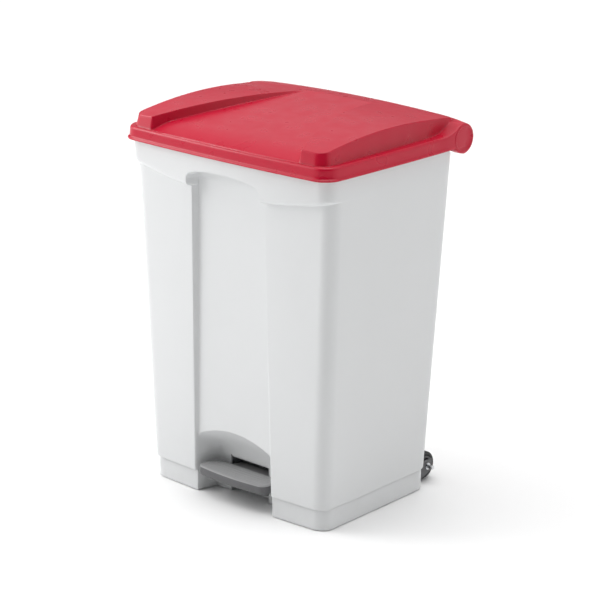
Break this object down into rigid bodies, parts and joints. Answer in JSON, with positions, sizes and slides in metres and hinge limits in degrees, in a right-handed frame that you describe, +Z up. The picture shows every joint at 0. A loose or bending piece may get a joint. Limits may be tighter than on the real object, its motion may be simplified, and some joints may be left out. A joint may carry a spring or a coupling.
{
  "type": "pedal bin",
  "caption": "Tapered plastic bin with a hinged lid opened by a foot pedal through a lever and lift rod, with two rear wheels.",
  "frame": {"origin": "on the floor under the middle of the bounding box", "axes": "+Z up, -Y is the front with the pedal, +X is to the right for someone who faces the front"},
  "size_m": [0.4822, 0.3648, 0.6709],
  "materials": {
    "white_plastic": "satin moulded",
    "red_plastic": "satin moulded",
    "grey_plastic": "matt moulded",
    "dark_plastic": "matt moulded",
    "black_rubber": "matt",
    "bright_steel": "zinc plated"
  },
  "bodies": {
    "housing": {"body_tub": "white_plastic", "base_plinth": "white_plastic", "hinge_rod": "bright_steel", "rod_guide_upper": "grey_plastic", "rod_guide_lower": "grey_plastic", "bearing_block_left": "grey_plastic", "bearing_block_right": "grey_plastic", "bearing_screws": "bright_steel", "wheel_axle": "bright_steel", "axle_caps": "bright_steel", "wheel_bracket_left": "dark_plastic", "wheel_bracket_right": "dark_plastic", "bracket_screws": "bright_steel", "base_screws": "bright_steel", "rubber_feet": "black_rubber"},
    "lid": {"lid": "red_plastic", "hinge_cap_left": "red_plastic", "hinge_cap_right": "red_plastic", "lift_crank": "grey_plastic"},
    "lift": {"lift_rod": "bright_steel", "lift_pin_upper": "bright_steel", "lift_pin_lower": "bright_steel"},
    "pedal": {"pedal_tread": "grey_plastic", "pedal_lever": "bright_steel", "pedal_shaft": "bright_steel", "tread_screws": "bright_steel", "shaft_clips": "dark_plastic"},
    "wheel_left": {"wheel_tyre_left": "black_rubber", "wheel_hub_left": "dark_plastic"},
    "wheel_right": {"wheel_tyre_right": "black_rubber", "wheel_hub_right": "dark_plastic"}
  },
  "joints": [
    {"name": "lid_hinge", "type": "hinge", "parent": "housing", "child": "lid", "pos_m": [0, 0.1542, 0.6274], "axis": [-1, 0, 0], "range_deg": [0, 75]},
    {"name": "pedal_hinge", "type": "hinge", "parent": "housing", "child": "pedal", "pos_m": [0, -0.01, 0.034], "axis": [1, 0, 0], "range_deg": [0, 10]},
    {"name": "lift_slide", "type": "slide", "parent": "housing", "child": "lift", "axis": [0, 0.0402, 0.9992], "range_m": [0, 0.0216]},
    {"name": "wheel_left_spin", "type": "hinge", "parent": "housing", "child": "wheel_left", "pos_m": [-0.165, 0.1512, 0.0265], "axis": [1, 0, 0], "continuous": true},
    {"name": "wheel_right_spin", "type": "hinge", "parent": "housing", "child": "wheel_right", "pos_m": [0.165, 0.1512, 0.0265], "axis": [1, 0, 0], "continuous": true}
  ],
  "couplings": [
    {"joint": "pedal_hinge", "follows": "lid_hinge", "ratio": 0.1309},
    {"joint": "lift_slide", "follows": "lid_hinge", "m_per_rad": 0.016412}
  ]
}
